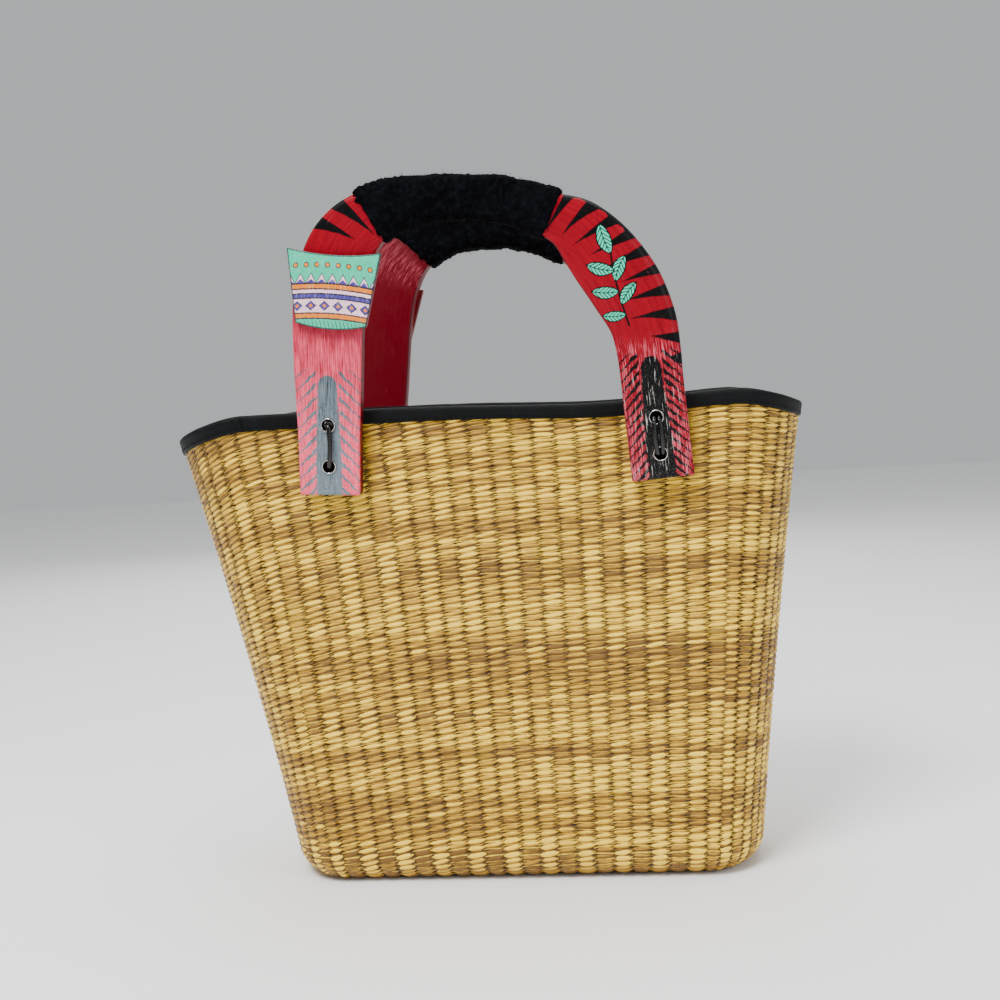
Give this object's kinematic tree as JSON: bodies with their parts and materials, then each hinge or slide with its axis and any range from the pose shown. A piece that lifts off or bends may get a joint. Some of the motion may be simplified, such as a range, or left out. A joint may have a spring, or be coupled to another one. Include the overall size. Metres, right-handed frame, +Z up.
{
  "type": "straw basket bag",
  "caption": "Open woven straw basket bag with a cloth-bound rim and arched painted wooden handles, laced through eyelets and wrapped with wool at the grip.",
  "frame": {"origin": "on the floor, under the middle of the bag's overall box", "axes": "+X along the mouth to the right as seen from the front, +Y from the front to the back, +Z up"},
  "size_m": [0.4436, 0.2172, 0.4824],
  "materials": {
    "straw": "plain-woven dry straw, tan with lighter and darker strands, matt with a faint sheen",
    "binding_cloth": "smooth black cotton binding folded over the rim",
    "handle_paint": "wood painted red with black bands, varnished glossy, worn at the edges",
    "plaque_paint": "thin wooden board painted with plain geometric bands under varnish",
    "wool": "knitted black wool, bumpy and fuzzy",
    "eyelet_metal": "bright rolled metal eyelets",
    "lace_cord": "smooth black waxed cord"
  },
  "bodies": {
    "root": {"basket_body": "straw", "rim_binding": "binding_cloth", "handle_front": "handle_paint", "grip_wrap_front": "wool", "plaque_front": "plaque_paint", "eyelet_front_left_upper": "eyelet_metal", "eyelet_front_left_lower": "eyelet_metal", "lace_front_left": "lace_cord", "eyelet_front_right_upper": "eyelet_metal", "eyelet_front_right_lower": "eyelet_metal", "lace_front_right": "lace_cord", "handle_back": "handle_paint", "grip_wrap_back": "wool", "plaque_back": "plaque_paint", "eyelet_back_left_upper": "eyelet_metal", "eyelet_back_left_lower": "eyelet_metal", "lace_back_left": "lace_cord", "eyelet_back_right_upper": "eyelet_metal", "eyelet_back_right_lower": "eyelet_metal", "lace_back_right": "lace_cord"}
  },
  "joints": []
}
